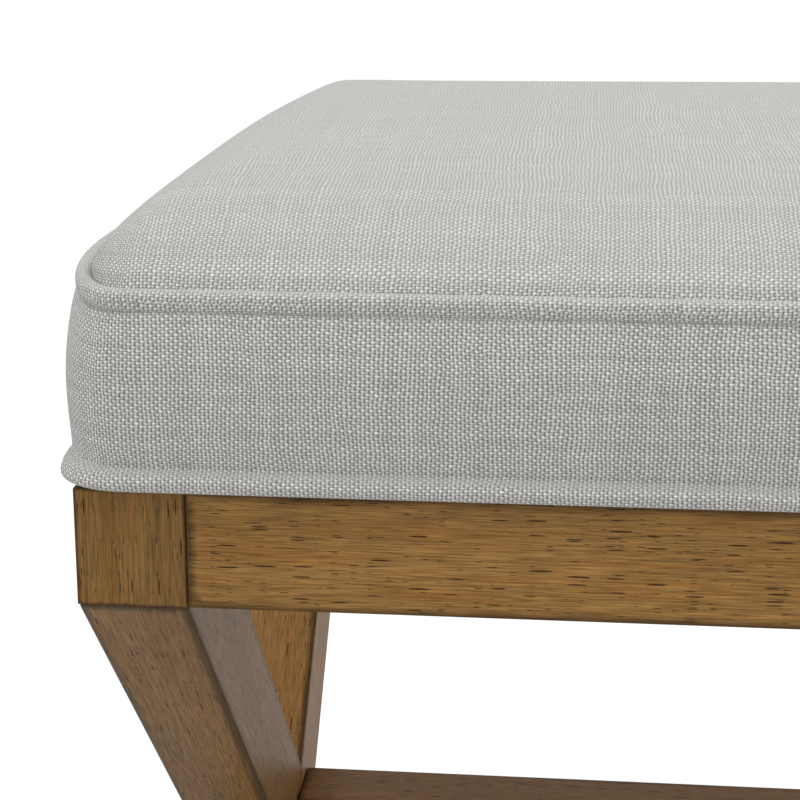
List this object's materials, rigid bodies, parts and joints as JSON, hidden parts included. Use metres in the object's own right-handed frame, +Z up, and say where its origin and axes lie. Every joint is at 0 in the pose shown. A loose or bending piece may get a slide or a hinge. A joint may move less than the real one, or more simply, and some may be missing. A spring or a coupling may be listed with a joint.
{
  "type": "ottoman with storage",
  "caption": "Long upholstered ottoman on crossed wooden legs; the padded seat is a hinged lid over a shallow storage well.",
  "frame": {"origin": "on the floor, midway along and across the frame", "axes": "+X along the seat, +Y from the front to the hinged back, +Z up"},
  "size_m": [1.117, 0.427, 0.472],
  "materials": {
    "oak_frame": "brushed open-grain hardwood, stained golden brown, eased dark edges",
    "plywood": "sanded, unfinished",
    "softwood": "planed, unfinished",
    "dowel_wood": "fluted hardwood",
    "zinc_steel": "zinc plated",
    "hinge_steel": "satin nickel plated",
    "linen_cover": "plain linen-look weave, light warm grey",
    "lining_cloth": "non-woven lining, matt",
    "foam": "open-cell foam, standing in as fabric",
    "glide_plastic": "moulded nylon",
    "bumper_rubber": "soft rubber"
  },
  "bodies": {
    "frame": {"corner_block_front_left": "oak_frame", "corner_block_front_right": "oak_frame", "corner_block_back_left": "oak_frame", "corner_block_back_right": "oak_frame", "apron_front": "oak_frame", "apron_back": "oak_frame", "apron_left": "oak_frame", "apron_right": "oak_frame", "leg_front_left": "oak_frame", "leg_front_right": "oak_frame", "leg_back_left": "oak_frame", "leg_back_right": "oak_frame", "stretcher": "oak_frame", "storage_panel": "plywood", "leg_dowels": "dowel_wood", "apron_dowels": "dowel_wood", "stretcher_dowels": "dowel_wood", "stretcher_bolts": "zinc_steel", "stretcher_washers": "zinc_steel", "barrel_nuts": "zinc_steel", "bolt_plugs": "oak_frame", "corner_brackets": "zinc_steel", "bracket_screws": "zinc_steel", "foot_glides": "glide_plastic", "lid_bumpers": "bumper_rubber", "hinge_frame_leaf_left": "hinge_steel", "hinge_frame_leaf_middle": "hinge_steel", "hinge_frame_leaf_right": "hinge_steel", "hinge_pins": "hinge_steel", "hinge_frame_screws": "hinge_steel"},
    "lid": {"hinge_lid_leaf_left": "hinge_steel", "hinge_lid_leaf_middle": "hinge_steel", "hinge_lid_leaf_right": "hinge_steel", "hinge_lid_screws": "hinge_steel", "lid_rail_front": "softwood", "lid_rail_back": "softwood", "lid_rail_left": "softwood", "lid_rail_right": "softwood", "lid_corner_blocks": "softwood", "seat_board": "plywood", "seat_board_screws": "zinc_steel", "lid_lining": "lining_cloth", "foam_wrap": "foam", "foam_pad": "foam", "cover_edge": "linen_cover", "boxing": "linen_cover", "top_panel": "linen_cover", "welt_cord": "linen_cover", "staples": "zinc_steel"}
  },
  "joints": [
    {"name": "lid_hinge", "type": "hinge", "parent": "frame", "child": "lid", "pos_m": [0, 0.2091, 0.386], "axis": [-1, 0, 0], "range_deg": [0, 90]}
  ]
}
